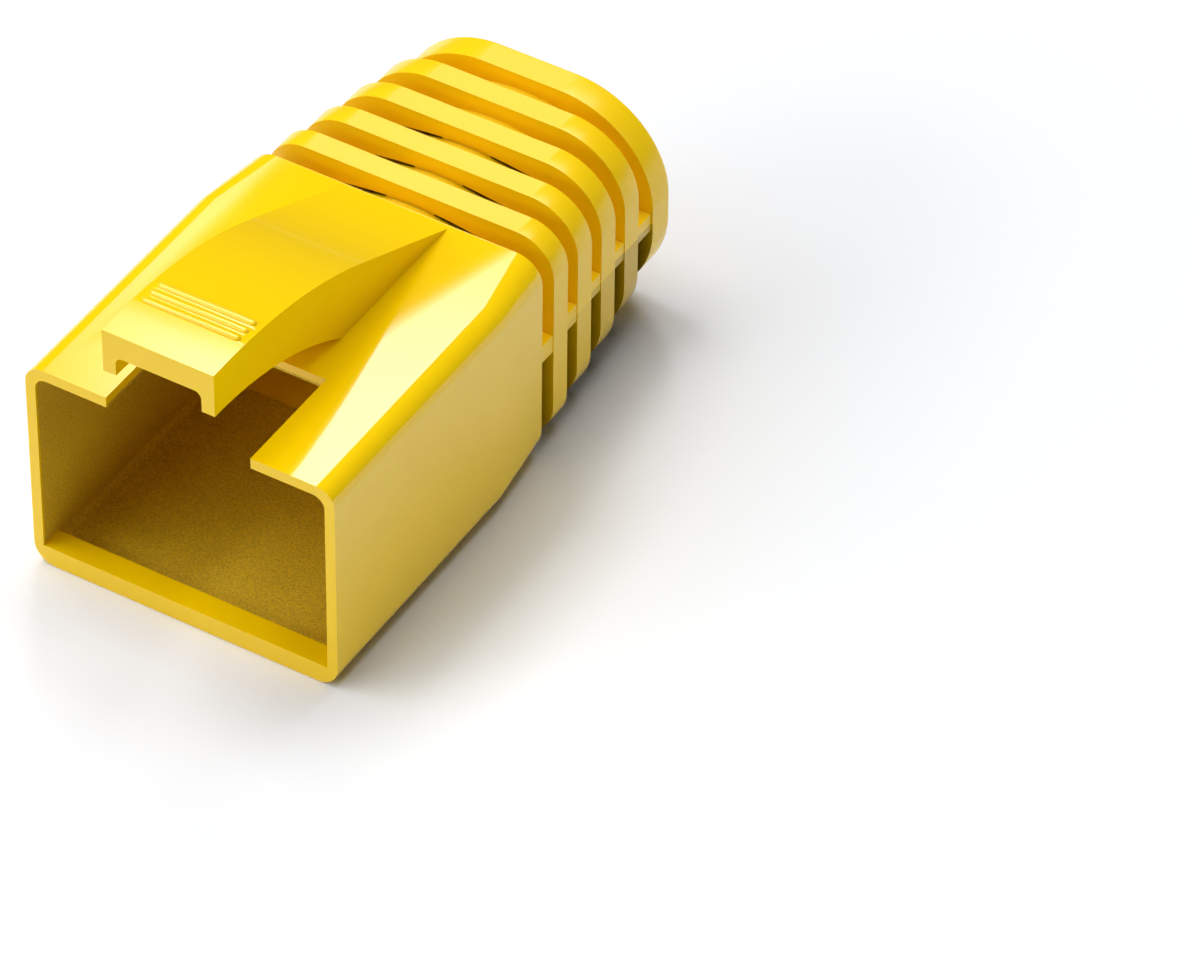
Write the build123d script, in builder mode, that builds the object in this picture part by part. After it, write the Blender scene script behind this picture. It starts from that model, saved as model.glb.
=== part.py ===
from build123d import *
from math import atan2, cos, degrees, radians, sin, sqrt, tan
import os

# Strain relief boot for an RJ45 plug, moulded in one piece of soft plastic.
# Millimetres. It lies on its flat underside, the plug goes in at the -Y end and the cable leaves
# at the +Y end. The origin is under the middle of the whole part, on the surface it lies on.

# Shell, a thin sleeve that takes the plug
shell_width = 13.0
shell_height = 9.4
shell_length = 14.3
side_wall = 0.42
top_wall = 0.46
floor_wall = 0.42
rear_wall = 1.2
taper_length = 3.15  # the sides are parallel up to here, measured from the shell's rear edge
rear_inset = 0.26  # on each side, at the rear edge
mouth_top_radius = 0.78
mouth_bottom_radius = 0.9
rear_top_radius = 1.1
rear_bottom_radius = 1.3
cavity_top_radius = 0.5
cavity_bottom_radius = 0.3

# Ridge across the floor of the mouth, which the plug rides over
lip_length = 0.95
lip_height = 0.42

# Slot for the plug's latch, in the top wall and open at the mouth
slot_width = 6.06
slot_length = 4.89

# Arm that guards the latch, rooted near the shell's rear edge and bent forward over the slot
arm_width = 4.64
arm_root_inset = 0.2  # from the shell's rear edge
arm_rise = 4.29  # from the shell's top face to the tip's top face
tip_overhang = 1.06
tip_depth = 1.88  # plate and legs together
arm_slope = 23.84  # degrees, of the straight run down to the root
leg_landing = 7.03  # behind the mouth, where the legs' lower edges meet the shell's top face
plate_thickness = 1.03
leg_thickness = 0.54
foot_length = 5.1  # solid part of the arm, from its root to the hollow between the legs
channel_radius = 0.3

# Grip ridges across the top of the arm
ridge_count = 3
ridge_pitch = 0.505
ridge_start = 1.05
ridge_width = 0.3
ridge_length = 4.1
ridge_height = 0.13

# Strain relief behind the shell: thin rings, then a thicker end ring, with equal gaps
ring_count = 4
ring_gap = 0.97
ring_thickness = 0.97
first_ring_inset = 0.36  # on each side, from the shell's side
last_ring_inset = 0.825
first_ring_radius = 1.6
last_ring_radius = 2.9
end_thickness = 1.25
end_inset = 0.775
end_bottom = 0.15
end_drop = 0.05  # from the level of the rings' tops
end_radius = 4.05
end_edge_radius = 0.15

# Oval passage for the cable, and the thin tube round it that joins the rings
passage_width = 9.0
passage_depth = 7.44
passage_side_radius = 3.3
passage_rim_radius = 0.22
throat_step = 0.3  # ledge of the shell's rear wall round the passage
throat_radius = 1.5
tube_side_wall = 0.55
tube_top_wall = 0.2
tube_side_radius = 3.5

# Bars that tie the rings together at the sides
bar_depth = 0.78
bar_inset = 0.04

# Relief that frees the inner rings from the top of the tube, on both sides of a spine
spine_width = 2.06
relief_width = 6.1
relief_roof = 0.69  # from the rings' tops down to the crown of its roof
relief_roof_radius = 16.0

# Worked out from the sizes above
cavity_width = shell_width - 2 * side_wall
cavity_top = shell_height - top_wall
taper_start = shell_length - taper_length
ring_pitch = ring_gap + ring_thickness
end_start = shell_length + ring_gap + ring_count * ring_pitch
end_width = shell_width - 2 * end_inset
end_depth = shell_height - end_drop - end_bottom
passage_height = end_bottom + end_depth / 2
tube_width = passage_width + 2 * tube_side_wall
tube_depth = passage_depth + 2 * tube_top_wall
total_length = end_start + end_thickness
mouth_y = (tip_overhang - total_length) / 2
tip_y = mouth_y - tip_overhang
tip_top = shell_height + arm_rise

# The arm's top line is level from the tip to the mouth plane and straight down to its root. The
# bend between them starts at the mouth plane, so its radius follows from where the two lines meet.
arm_root = shell_length - arm_root_inset
bend_angle = radians(arm_slope)
corner = arm_root - arm_rise / tan(bend_angle)
bend_radius = corner / tan(bend_angle / 2)


def section(station):
    """Plane across the boot, at a distance behind the mouth and looking along +Y."""
    return Plane(origin=(0, mouth_y + station, 0), x_dir=(-1, 0, 0), z_dir=(0, 1, 0))


def rounded_outline(sketch, width, bottom, top, bottom_radius, top_radius):
    """Rectangle from one height to another, with its own radii at the bottom and at the top."""
    with Locations((0, (bottom + top) / 2)):
        Rectangle(width, top - bottom)
    fillet(sketch.vertices().sort_by(Axis.Y)[:2], bottom_radius)
    fillet(sketch.vertices().sort_by(Axis.Y)[-2:], top_radius)


def mouth_outline(sketch):
    rounded_outline(
        sketch, shell_width, 0, shell_height, mouth_bottom_radius, mouth_top_radius
    )


def cavity_outline(sketch):
    rounded_outline(
        sketch, cavity_width, floor_wall, cavity_top, cavity_bottom_radius, cavity_top_radius
    )


def ring_size(ring, first, last):
    """Size of one ring, in even steps from the first ring's to the last ring's."""
    return first + (last - first) * ring / max(ring_count - 1, 1)


def ring_width(ring):
    return shell_width - 2 * ring_size(ring, first_ring_inset, last_ring_inset)


def oval(width, depth, side_radius):
    """Four arcs that meet at a tangent: one at each side, flatter ones below and on top."""
    half_depth = depth / 2
    side_x = width / 2 - side_radius
    flat_radius = (side_x**2 + half_depth**2 - side_radius**2) / (2 * (half_depth - side_radius))
    flat_drop = flat_radius - half_depth
    turn = degrees(atan2(flat_drop, side_x))
    side_arc, flat_arc = 2 * turn, 180 - 2 * turn
    CenterArc((side_x, passage_height), side_radius, -turn, side_arc)
    CenterArc((0, passage_height - flat_drop), flat_radius, turn, flat_arc)
    CenterArc((-side_x, passage_height), side_radius, 180 - turn, side_arc)
    CenterArc((0, passage_height + flat_drop), flat_radius, 180 + turn, flat_arc)


def arm_line(depth):
    """Level run and bend of the arm, at a depth below its top face. Returns the bend's end."""
    radius = bend_radius - depth
    bend_end = (
        mouth_y + radius * sin(bend_angle),
        tip_top - bend_radius + radius * cos(bend_angle),
    )
    level = Line((tip_y, tip_top - depth), (mouth_y, tip_top - depth))
    TangentArc(level @ 1, bend_end, tangent=(1, 0))
    return bend_end


# Hollow under the arm's plate, between its two legs, ending at the arm's solid foot
with BuildPart() as channel:
    with BuildSketch(Plane.YZ):
        with BuildLine():
            bend_end = arm_line(plate_thickness)
            run_end_y = bend_end[0] + (bend_end[1] - shell_height) / tan(bend_angle)
            Polyline(
                bend_end,
                (run_end_y, shell_height),
                (tip_y, shell_height),
                (tip_y, tip_top - plate_thickness),
            )
        make_face()
        with Locations((tip_y, shell_height)):
            hollow_length = tip_overhang + arm_root - foot_length
            corner_align = (Align.MIN, Align.MIN)
            Rectangle(hollow_length, arm_rise, align=corner_align, mode=Mode.INTERSECT)
    extrude(amount=arm_width / 2 - leg_thickness, both=True)
    ceiling = channel.faces().filter_by(lambda face: face.normal_at().Z > 0.5)
    sides = channel.faces().filter_by(Axis.X)
    fillet([edge for edge in ceiling.edges() if edge in sides.edges()], channel_radius)

with BuildPart() as boot:
    # Shell, parallel from the mouth and then drawn in to its rear edge
    with BuildSketch(section(0)) as outline:
        mouth_outline(outline)
    extrude(amount=taper_start)
    with BuildSketch(section(taper_start)) as outline:
        mouth_outline(outline)
    with BuildSketch(section(shell_length)) as outline:
        rear_width = shell_width - 2 * rear_inset
        rounded_outline(outline, rear_width, 0, shell_height, rear_bottom_radius, rear_top_radius)
    loft()

    # Rings, narrower and rounder towards the end
    for ring in range(ring_count):
        radius = ring_size(ring, first_ring_radius, last_ring_radius)
        with BuildSketch(section(shell_length + ring_gap + ring * ring_pitch)) as outline:
            rounded_outline(outline, ring_width(ring), 0, shell_height, radius, radius)
        extrude(amount=ring_thickness)

    # Relief through all rings but the last, under a crowned roof. The tube then fills it below.
    relief_half = relief_width / 2
    roof_z = shell_height - relief_roof
    roof_end_z = roof_z - relief_roof_radius + sqrt(relief_roof_radius**2 - relief_half**2)
    with BuildSketch(section(shell_length + ring_gap)):
        with BuildLine():
            ThreePointArc((-relief_half, roof_end_z), (0, roof_z), (relief_half, roof_end_z))
            Polyline(
                (relief_half, roof_end_z),
                (relief_half, passage_height),
                (-relief_half, passage_height),
                (-relief_half, roof_end_z),
            )
        make_face()
        with Locations((0, shell_height / 2)):
            Rectangle(spine_width, shell_height, mode=Mode.SUBTRACT)
    extrude(amount=(ring_count - 1) * ring_pitch - ring_gap, mode=Mode.SUBTRACT)

    # Tube, from inside the shell's rear wall to the end ring
    with BuildSketch(section(shell_length - rear_wall / 2)):
        with BuildLine():
            oval(tube_width, tube_depth, tube_side_radius)
        make_face()
    extrude(amount=end_start - shell_length + rear_wall / 2)

    # End ring
    with BuildSketch(section(end_start)):
        with Locations((0, passage_height)):
            RectangleRounded(end_width, end_depth, end_radius)
    extrude(amount=end_thickness)
    end_face = boot.faces().sort_by(Axis.Y)[-1]
    fillet(end_face.outer_wire().edges(), end_edge_radius)

    # Bars across the gaps, nearly flush with the narrower ring beside them
    for gap in range(ring_count + 1):
        bar_width = ring_width(min(gap, ring_count - 1)) - 2 * bar_inset
        with BuildSketch(section(shell_length + gap * ring_pitch)):
            with Locations((0, passage_height)):
                Rectangle(bar_width, bar_depth)
        extrude(amount=ring_gap)

    # Plug cavity: a straight part, then a throat that narrows to the rear wall
    with BuildSketch(section(0)) as outline:
        cavity_outline(outline)
    extrude(amount=taper_start, mode=Mode.SUBTRACT)
    with BuildSketch(section(taper_start)) as outline:
        cavity_outline(outline)
    with BuildSketch(section(shell_length - rear_wall)) as outline:
        throat_half = passage_depth / 2 + throat_step
        rounded_outline(
            outline,
            passage_width + 2 * throat_step,
            passage_height - throat_half,
            passage_height + throat_half,
            throat_radius,
            throat_radius,
        )
    loft(mode=Mode.SUBTRACT)

    # Cable passage, with a rounded rim at the end face
    with BuildSketch(section(shell_length - rear_wall)):
        with BuildLine():
            oval(passage_width, passage_depth, passage_side_radius)
        make_face()
    extrude(amount=total_length - shell_length + rear_wall, mode=Mode.SUBTRACT)
    end_face = boot.faces().sort_by(Axis.Y)[-1]
    fillet(end_face.inner_wires().edges(), passage_rim_radius)

    # Lip across the floor of the mouth
    with BuildSketch(section(0)):
        with Locations((0, floor_wall + lip_height / 2)):
            Rectangle(cavity_width, lip_height)
    extrude(amount=lip_length)

    # Latch slot
    with BuildSketch(section(0)):
        with Locations((0, shell_height - top_wall / 2)):
            Rectangle(slot_width, top_wall)
    extrude(amount=slot_length, mode=Mode.SUBTRACT)

    # Latch arm, with its foot sunk to the middle of the top wall
    with BuildSketch(Plane.YZ):
        with BuildLine():
            bend_end = arm_line(0)
            landing = (mouth_y + leg_landing, shell_height)
            foot_z = shell_height - top_wall / 2
            Polyline(
                bend_end,
                (mouth_y + arm_root, shell_height),
                (mouth_y + arm_root, foot_z),
                (mouth_y + leg_landing, foot_z),
                landing,
            )
            leg = TangentArc((tip_y, tip_top - tip_depth), landing, tangent=(1, 0))
            Line(leg @ 0, (tip_y, tip_top))
        make_face()
    extrude(amount=arm_width / 2, both=True)
    add(channel.part, mode=Mode.SUBTRACT)

    # Grip ridges, round bars sunk into the arm's top face where it bends
    for ridge in range(ridge_count):
        station = ridge_start + ridge * ridge_pitch
        face_z = tip_top - bend_radius + sqrt(bend_radius**2 - station**2)
        bar_z = face_z + ridge_height - ridge_width / 2
        with BuildSketch(Plane.XY.offset(bar_z)):
            with Locations((0, mouth_y + station)):
                SlotOverall(ridge_length, ridge_width)
                half = (Align.CENTER, Align.MIN)
                Rectangle(ridge_length, ridge_width, align=half, mode=Mode.INTERSECT)
        revolve(axis=Axis((0, mouth_y + station, bar_z), (1, 0, 0)))

boot.part.label = "boot"

os.makedirs("parts", exist_ok=True)
export_step(boot.part, "parts/boot.step")
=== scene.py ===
import math
import bpy
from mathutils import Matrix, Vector

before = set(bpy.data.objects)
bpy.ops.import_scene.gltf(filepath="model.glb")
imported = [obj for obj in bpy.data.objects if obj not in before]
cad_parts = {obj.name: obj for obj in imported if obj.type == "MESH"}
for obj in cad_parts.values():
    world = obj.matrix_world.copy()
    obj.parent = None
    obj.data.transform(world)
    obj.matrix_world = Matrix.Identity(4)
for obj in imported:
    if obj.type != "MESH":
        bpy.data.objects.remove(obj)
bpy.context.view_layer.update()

millimetre = 0.001


def hexToLinear(hexColour):  # sRGB hex to the linear values that Blender's sockets take
    parts = [int(hexColour[i:i + 2], 16) / 255 for i in (1, 3, 5)]
    return [c / 12.92 if c <= 0.04045 else ((c + 0.055) / 1.055) ** 2.4 for c in parts] + [1.0]


def addNode(tree, kind, settings={}, links={}):  # one node, its settings and what feeds its inputs
    node = tree.nodes.new(kind)
    for key, value in settings.items():
        if isinstance(key, int) or key in node.inputs:
            node.inputs[key].default_value = value
        else:
            setattr(node, key, value)
    for key, (source, output) in links.items():
        tree.links.new(source.outputs[output], node.inputs[key])
    return node


def newMaterial(name):
    material = bpy.data.materials.new(name)
    material.use_nodes = True
    material.node_tree.nodes.clear()
    return material, material.node_tree


# Camera
cameraValues = {
    "place": (0.108967, -0.167304, 0.179707),  # metres
    "turn": (47.628, -0.6088, 31.0733),  # degrees about X, Y and Z
    "lens": 218.343,  # mm
    "sensor": 36.0,
    "clipStart": 0.01,  # metres
}
cameraData = bpy.data.cameras.new("camera")
cameraData.lens = cameraValues["lens"]
cameraData.sensor_width = cameraValues["sensor"]
cameraData.clip_start = cameraValues["clipStart"]
camera = bpy.data.objects.new("camera", cameraData)
camera.location = cameraValues["place"]
camera.rotation_euler = [math.radians(a) for a in cameraValues["turn"]]
bpy.context.scene.collection.objects.link(camera)
bpy.context.scene.camera = camera
print("camera placed")

# Boot, all lengths in mm: X across, Y from the mouth to the cable, Z up
bootValues = {
    "colour": "#FAD000",
    "shadeColour": "#F9CB00",
    "tintSize": 3.0,  # how wide the slow drift between the two colours is
    "tintDetail": 2.0,
    "roughness": 0.08,
    "roughnessSpread": 0.02,
    "indexOfRefraction": 1.53,
    "ringStart": 3.0,  # along Y, where the rings begin
    "ringRoughness": 0.26,
    # darker than the skin: painted shade in the cavity, over its real matt pitted finish
    "cavityPaintedShadeColour": "#D2AE0B",
    "cavityRoughness": 0.7,
    "cavityCentre": (0.0, -5.85, 4.7),  # a box round the cavity's walls
    "cavityHalf": (6.2, 5.64, 4.35),
    "lipTop": 0.9,  # up, and where along Y the smooth lip in the mouth ends
    "lipEnd": -10.62,
    "grainSize": 0.08,  # the pits of the eroded mould
    "grainDepth": 0.03,
    "grainDetail": 1.0,
    "grainRoughness": 0.6,
    "grainTint": 0.22,  # how much lighter and darker the pits are
    "grainRange": (0.3, 0.7),
    "slitCentre": (0.0, 6.08, 8.35),  # a box round the narrow slits over the tube, where shade is painted
    "slitHalf": (3.1, 2.5, 0.45),
    "slitReach": 0.5,  # how wide a slit still darkens
    "slitOpenness": (0.3, 0.55),  # how open a place is where it is darkest, and where it is clear
    "slitSamples": 6,
    # near-black brown, painted shade in the slits over the tube and in the gaps under the bars
    "paintedShadeColour": "#2E1600",
    "windowCentre": (0.0, 7.05, 2.3),  # a box round the gaps under the bars, where shade is painted
    "windowHalf": (7.0, 4.4, 2.4),
    "windowFace": 6.1,  # from the middle, where the painted shade begins, and over how far it grows
    "windowFade": 1.0,
    "windowShade": 0.8,
    "tubeMiddle": 4.75,  # up, for the tube's wall, which parts the gaps from the passage
    "tubeFlats": (1.38, 1000.0, 0.42),  # half of the flats across and up, with no end along Y
    "tubeRadius": 3.4,
    "weldGap": 0.001,
    "flatAngle": 0.5,  # degrees, under which faces of the CAD mesh join to one flat
    "edgeRadius": 0.07,  # the softness of a moulded edge
    "edgeSegments": 3,
    "edgeAngle": 30,  # degrees, over which an edge is rounded
}
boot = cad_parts["boot"]


# 1 inside a box: there the largest of three distances from its centre, in half widths, is under 1
def insideBox(tree, millimetres, centre, half):
    offset = addNode(tree, "ShaderNodeVectorMath", {"operation": "SUBTRACT", 1: centre}, {0: (millimetres, 0)})
    share = addNode(tree, "ShaderNodeVectorMath", {"operation": "DIVIDE", 1: half}, {0: (offset, 0)})
    spread = addNode(tree, "ShaderNodeVectorMath", {"operation": "ABSOLUTE"}, {0: (share, 0)})
    axes = addNode(tree, "ShaderNodeSeparateXYZ", {}, {0: (spread, 0)})
    larger = addNode(tree, "ShaderNodeMath", {"operation": "MAXIMUM"}, {0: (axes, "X"), 1: (axes, "Y")})
    largest = addNode(tree, "ShaderNodeMath", {"operation": "MAXIMUM"}, {0: (larger, 0), 1: (axes, "Z")})
    return addNode(tree, "ShaderNodeMath", {"operation": "LESS_THAN", 1: 1.0}, {0: (largest, 0)})


# Soft PVC, injection moulded. A polished mould gives the shell a clear gloss, the rings between thin
# blades come out duller, and the eroded core leaves the cavity matt and finely pitted. Shade is painted
# into the colour: the cavity is darker, and the slits over the tube and the gaps under the bars go dark.
def makeSoftPvc():
    material, tree = newMaterial("softPvcMoulded")
    place = addNode(tree, "ShaderNodeTexCoord")
    millimetres = addNode(tree, "ShaderNodeMapping", {"Scale": [1 / millimetre] * 3}, {"Vector": (place, "Object")})
    point = addNode(tree, "ShaderNodeSeparateXYZ", {}, {0: (millimetres, 0)})
    flow = addNode(
        tree, "ShaderNodeTexNoise",
        {"Scale": 1 / bootValues["tintSize"], "Detail": bootValues["tintDetail"]},
        {"Vector": (millimetres, "Vector")},
    )
    grain = addNode(
        tree, "ShaderNodeTexNoise",
        {
            "Scale": 1 / bootValues["grainSize"],
            "Detail": bootValues["grainDetail"],
            "Roughness": bootValues["grainRoughness"],
        },
        {"Vector": (millimetres, "Vector")},
    )

    # Where the cavity is, without the lip
    inside = insideBox(tree, millimetres, bootValues["cavityCentre"], bootValues["cavityHalf"])
    overLip = addNode(
        tree, "ShaderNodeMath", {"operation": "GREATER_THAN", 1: bootValues["lipTop"]}, {0: (point, "Z")},
    )
    behindLip = addNode(
        tree, "ShaderNodeMath", {"operation": "GREATER_THAN", 1: bootValues["lipEnd"]}, {0: (point, "Y")},
    )
    clear = addNode(tree, "ShaderNodeMath", {"operation": "MAXIMUM"}, {0: (overLip, 0), 1: (behindLip, 0)})
    cavity = addNode(tree, "ShaderNodeMath", {"operation": "MULTIPLY"}, {0: (inside, 0), 1: (clear, 0)})

    # Colour of the skin, and of the pitted cavity, which is darkened as painted shade
    tint = addNode(
        tree, "ShaderNodeMix",
        {
            "data_type": "RGBA",
            6: hexToLinear(bootValues["shadeColour"]),
            7: hexToLinear(bootValues["colour"]),
        },
        {0: (flow, "Fac")},
    )
    speckle = addNode(
        tree, "ShaderNodeMapRange",
        {
            "From Min": bootValues["grainRange"][0],
            "From Max": bootValues["grainRange"][1],
            "To Min": 1 - bootValues["grainTint"],
            "To Max": 1 + bootValues["grainTint"],
        },
        {"Value": (grain, "Fac")},
    )
    pittedShadedColour = addNode(
        tree, "ShaderNodeVectorMath",
        {"operation": "SCALE", 0: hexToLinear(bootValues["cavityPaintedShadeColour"])[:3]}, {"Scale": (speckle, "Result")},
    )
    skinColour = addNode(
        tree, "ShaderNodeMix", {"data_type": "RGBA"}, {0: (cavity, 0), 6: (tint, 2), 7: (pittedShadedColour, 0)},
    )

    # Painted shade in the slits over the tube, darkest where ambient occlusion finds them narrow
    openness = addNode(
        tree, "ShaderNodeAmbientOcclusion",
        {
            "samples": bootValues["slitSamples"],
            "only_local": True,
            "Distance": bootValues["slitReach"] * millimetre,
        },
    )
    shade = addNode(
        tree, "ShaderNodeMapRange",
        {
            "From Min": bootValues["slitOpenness"][0],
            "From Max": bootValues["slitOpenness"][1],
            "To Min": 1.0,
            "To Max": 0.0,
            "interpolation_type": "SMOOTHSTEP",
        },
        {"Value": (openness, "AO")},
    )
    narrow = insideBox(tree, millimetres, bootValues["slitCentre"], bootValues["slitHalf"])
    slits = addNode(tree, "ShaderNodeMath", {"operation": "MULTIPLY"}, {0: (shade, 0), 1: (narrow, 0)})

    # Painted shade in the gaps under the bars, outside the tube
    under = insideBox(tree, millimetres, bootValues["windowCentre"], bootValues["windowHalf"])
    across = addNode(tree, "ShaderNodeMath", {"operation": "ABSOLUTE"}, {0: (point, "X")})
    behind = addNode(
        tree, "ShaderNodeMapRange",
        {
            "From Min": bootValues["windowFace"],
            "From Max": bootValues["windowFace"] - bootValues["windowFade"],
            "To Max": bootValues["windowShade"],
        },
        {"Value": (across, 0)},
    )
    fromTube = addNode(
        tree, "ShaderNodeVectorMath",
        {"operation": "SUBTRACT", 1: (0, 0, bootValues["tubeMiddle"])}, {0: (millimetres, 0)},
    )
    aside = addNode(tree, "ShaderNodeVectorMath", {"operation": "ABSOLUTE"}, {0: (fromTube, 0)})
    overFlat = addNode(
        tree, "ShaderNodeVectorMath", {"operation": "SUBTRACT", 1: bootValues["tubeFlats"]}, {0: (aside, 0)},
    )
    rounded = addNode(tree, "ShaderNodeVectorMath", {"operation": "MAXIMUM", 1: (0, 0, 0)}, {0: (overFlat, 0)})
    reach = addNode(tree, "ShaderNodeVectorMath", {"operation": "LENGTH"}, {0: (rounded, 0)})
    outsideTube = addNode(
        tree, "ShaderNodeMath", {"operation": "GREATER_THAN", 1: bootValues["tubeRadius"]}, {0: (reach, "Value")},
    )
    gaps = addNode(tree, "ShaderNodeMath", {"operation": "MULTIPLY"}, {0: (outsideTube, 0), 1: (under, 0)})
    windows = addNode(tree, "ShaderNodeMath", {"operation": "MULTIPLY"}, {0: (behind, 0), 1: (gaps, 0)})
    # Painted shade: the slits and the gaps under the bars mix towards the near-black brown
    paintedShadeMask = addNode(tree, "ShaderNodeMath", {"operation": "MAXIMUM"}, {0: (slits, 0), 1: (windows, 0)})
    colour = addNode(
        tree, "ShaderNodeMix",
        {"data_type": "RGBA", 7: hexToLinear(bootValues["paintedShadeColour"])}, {0: (paintedShadeMask, 0), 6: (skinColour, 2)},
    )

    # Gloss of the shell, the rings and the cavity
    gloss = addNode(
        tree, "ShaderNodeMapRange",
        {
            "To Min": bootValues["roughness"] - bootValues["roughnessSpread"],
            "To Max": bootValues["roughness"] + bootValues["roughnessSpread"],
        },
        {"Value": (flow, "Fac")},
    )
    rings = addNode(
        tree, "ShaderNodeMath", {"operation": "GREATER_THAN", 1: bootValues["ringStart"]}, {0: (point, "Y")},
    )
    outer = addNode(
        tree, "ShaderNodeMix", {3: bootValues["ringRoughness"]}, {0: (rings, 0), 2: (gloss, "Result")},
    )
    rough = addNode(tree, "ShaderNodeMix", {3: bootValues["cavityRoughness"]}, {0: (cavity, 0), 2: (outer, 0)})
    pits = addNode(tree, "ShaderNodeMath", {"operation": "MULTIPLY"}, {0: (cavity, 0), 1: (grain, "Fac")})
    relief = addNode(
        tree, "ShaderNodeBump",
        {"Strength": 1.0, "Distance": bootValues["grainDepth"] * millimetre}, {"Height": (pits, 0)},
    )
    skin = addNode(
        tree, "ShaderNodeBsdfPrincipled",
        {"IOR": bootValues["indexOfRefraction"]},
        {"Base Color": (colour, 2), "Roughness": (rough, 0), "Normal": (relief, 0)},
    )
    addNode(tree, "ShaderNodeOutputMaterial", {}, {"Surface": (skin, "BSDF")})
    return material


boot.data.materials.clear()
boot.data.materials.append(makeSoftPvc())

# Flat faces are joined first, so that the rounded edges run clean and the flats stay flat
weld = boot.modifiers.new("weld", "WELD")
weld.merge_threshold = bootValues["weldGap"] * millimetre
flatten = boot.modifiers.new("flatten", "DECIMATE")
flatten.decimate_type = "DISSOLVE"
flatten.angle_limit = math.radians(bootValues["flatAngle"])
soften = boot.modifiers.new("soften", "BEVEL")
soften.width = bootValues["edgeRadius"] * millimetre
soften.segments = bootValues["edgeSegments"]
soften.limit_method = "ANGLE"
soften.angle_limit = math.radians(bootValues["edgeAngle"])
boot.modifiers.new("weigh", "WEIGHTED_NORMAL")
print("boot dressed")

# Floor, in metres
floorValues = {
    "colour": "#FAFBFD",
    "paintedDimColour": "#505256",  # painted dimness far off, level with the room, so that the gloss mirrors no edge
    "poolStart": 0.12,  # from the middle, where the painted dimming of the card begins
    "poolEnd": 0.4,
    "size": 2.4,
    "drop": 0.00002,  # under the boot, so that the two faces do not share a plane
}


# Matt white card, calendered: no gloss. A pool of light is painted on it, bright round the boot and dimmer far off
def makeCard():
    material, tree = newMaterial("whiteCardPaintedPool")
    place = addNode(tree, "ShaderNodeTexCoord")
    away = addNode(tree, "ShaderNodeVectorMath", {"operation": "LENGTH"}, {0: (place, "Object")})
    dim = addNode(
        tree, "ShaderNodeMapRange",
        {
            "interpolation_type": "SMOOTHSTEP",
            "From Min": floorValues["poolStart"],
            "From Max": floorValues["poolEnd"],
        },
        {"Value": (away, "Value")},
    )
    shade = addNode(
        tree, "ShaderNodeMix",
        {
            "data_type": "RGBA",
            6: hexToLinear(floorValues["colour"]),
            7: hexToLinear(floorValues["paintedDimColour"]),
        },
        {0: (dim, 0)},
    )
    card = addNode(tree, "ShaderNodeBsdfDiffuse", {}, {"Color": (shade, 2)})
    addNode(tree, "ShaderNodeOutputMaterial", {}, {"Surface": (card, 0)})
    return material


half = floorValues["size"] / 2
corners = [(-half, -half, 0), (half, -half, 0), (half, half, 0), (-half, half, 0)]
floorMesh = bpy.data.meshes.new("floor")
floorMesh.from_pydata(corners, [], [(0, 1, 2, 3)])
floorMesh.materials.append(makeCard())
floor = bpy.data.objects.new("floor", floorMesh)
floor.location.z = -floorValues["drop"]
bpy.context.scene.collection.objects.link(floor)
print("floor laid")

# Lights
lightValues = {
    "world": 0.08,
    "worldColour": "#D9ECFF",
    "distance": 1.2,  # metres
    "fade": (3.0, 4.0),  # degrees, how far a softbox dims towards its sides, and towards its top and bottom
    "softboxes": [
        # name, azimuth from +X, elevation, width and height in degrees, radiance
        ("overhead", 180, 88, 40, 40, 1.6),
        ("key", 123, 50, 7.6, 22.5, 10.0),  # the bright band beside the arm is its mirror image
        ("backTop", 100, 67, 30, 24, 3.9),
        ("rightTop", 20, 69, 30, 26, 1.7),
        ("leftTop", 180, 66, 30, 24, 6.9),
        ("frontLeft", 213, 42, 28, 34, 2.4),
        ("frontLeftLow", 238, 24, 40, 22, 5.4),
        ("rightMid", 5, 40, 36, 20, 2.8),
    ],
    "bootOnly": ["rightTop", "rightMid"],  # fill that would wash out the shadow on the floor
}
world = bpy.data.worlds.new("studio")
bpy.context.scene.world = world
world.use_nodes = True
world.node_tree.nodes.clear()
room = addNode(
    world.node_tree, "ShaderNodeBackground",
    {"Color": hexToLinear(lightValues["worldColour"]), "Strength": lightValues["world"]},
)
addNode(world.node_tree, "ShaderNodeOutputWorld", {}, {"Surface": (room, 0)})


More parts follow.
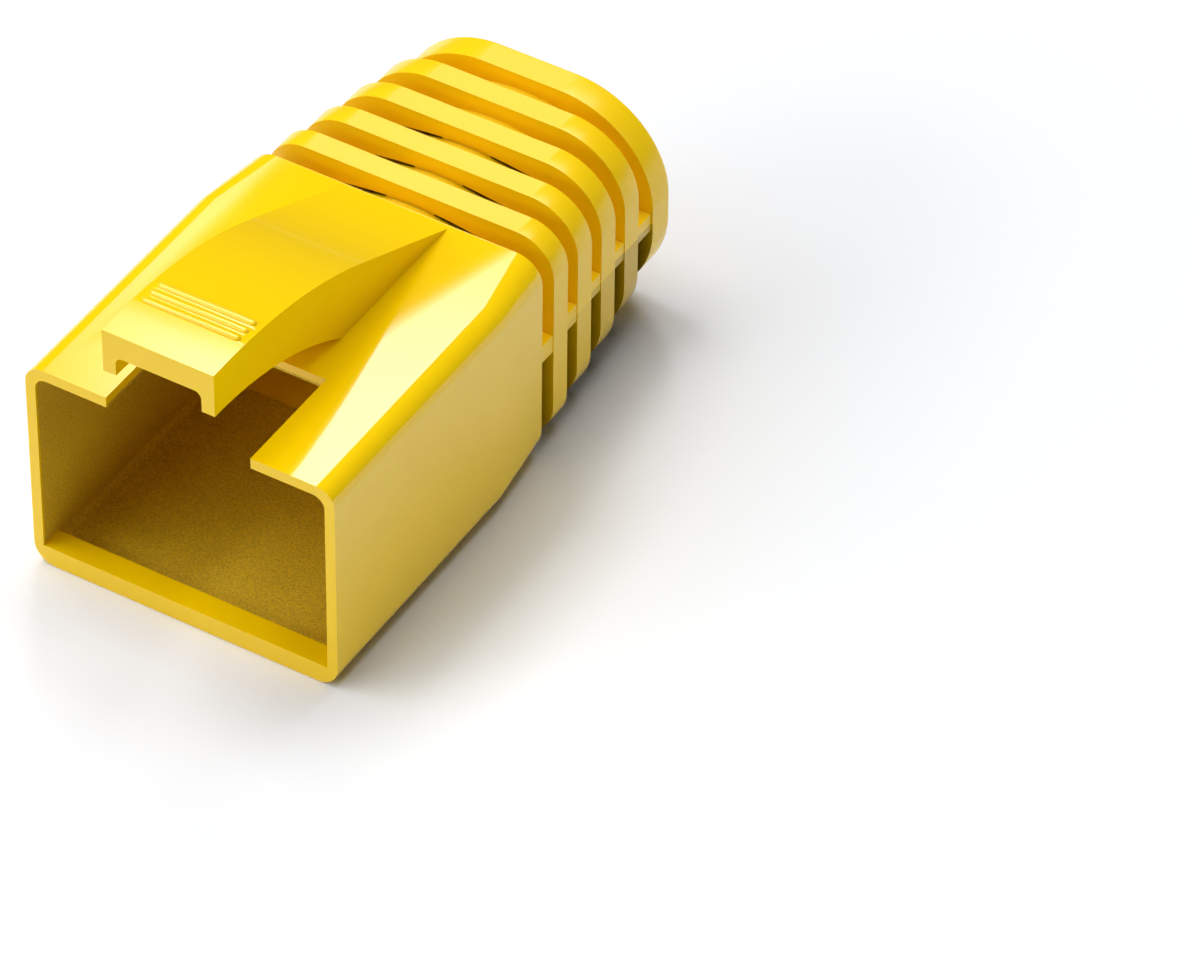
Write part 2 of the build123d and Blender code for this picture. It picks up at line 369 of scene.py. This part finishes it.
# A softbox is brightest over its middle and dims towards its edges
def fadeEdges(lamp, width, height):
    lamp.use_nodes = True
    tree = lamp.node_tree
    tree.nodes.clear()
    spot = addNode(tree, "ShaderNodeNewGeometry")
    offset = addNode(
        tree, "ShaderNodeVectorMath", {"operation": "SUBTRACT", 1: (0.5, 0.5, 0)}, {0: (spot, "Parametric")},
    )
    away = addNode(tree, "ShaderNodeVectorMath", {"operation": "ABSOLUTE"}, {0: (offset, 0)})
    inner = [0.5 - fade / a for fade, a in zip(lightValues["fade"], (width, height))] + [0.5]
    level = addNode(
        tree, "ShaderNodeMapRange",
        {
            "data_type": "FLOAT_VECTOR",
            "interpolation_type": "SMOOTHSTEP",
            7: inner,  # from here
            8: (0.5, 0.5, 1.0),  # to the edge
            9: (1, 1, 1),
            10: (0, 0, 0),
        },
        {"Vector": (away, 0)},
    )
    sides = addNode(tree, "ShaderNodeSeparateXYZ", {}, {0: (level, "Vector")})
    strength = addNode(tree, "ShaderNodeMath", {"operation": "MULTIPLY"}, {0: (sides, "X"), 1: (sides, "Y")})
    glow = addNode(tree, "ShaderNodeEmission", {}, {"Strength": (strength, 0)})
    addNode(tree, "ShaderNodeOutputLight", {}, {"Surface": (glow, 0)})


offFloor = bpy.data.collections.new("offFloor")
offFloor.objects.link(floor)
offFloor.collection_objects[0].light_linking.link_state = "EXCLUDE"
for name, azimuth, elevation, width, height, radiance in lightValues["softboxes"]:
    lamp = bpy.data.lights.new(name, "AREA")
    lamp.shape = "RECTANGLE"
    lamp.size, lamp.size_y = (2 * lightValues["distance"] * math.tan(math.radians(a / 2)) for a in (width, height))
    lamp.energy = radiance * lamp.size * lamp.size_y * math.pi
    fadeEdges(lamp, width, height)
    turn, lift = math.radians(azimuth), math.radians(elevation)
    side = Vector((math.cos(lift) * math.cos(turn), math.cos(lift) * math.sin(turn), math.sin(lift)))
    box = bpy.data.objects.new(name, lamp)
    box.location = side * lightValues["distance"]
    box.rotation_euler = (-side).to_track_quat("-Z", "Y").to_euler()
    bpy.context.scene.collection.objects.link(box)
    if name in lightValues["bootOnly"]:
        box.light_linking.receiver_collection = offFloor
print("lights set")

bpy.context.scene.view_settings.view_transform = "Standard"
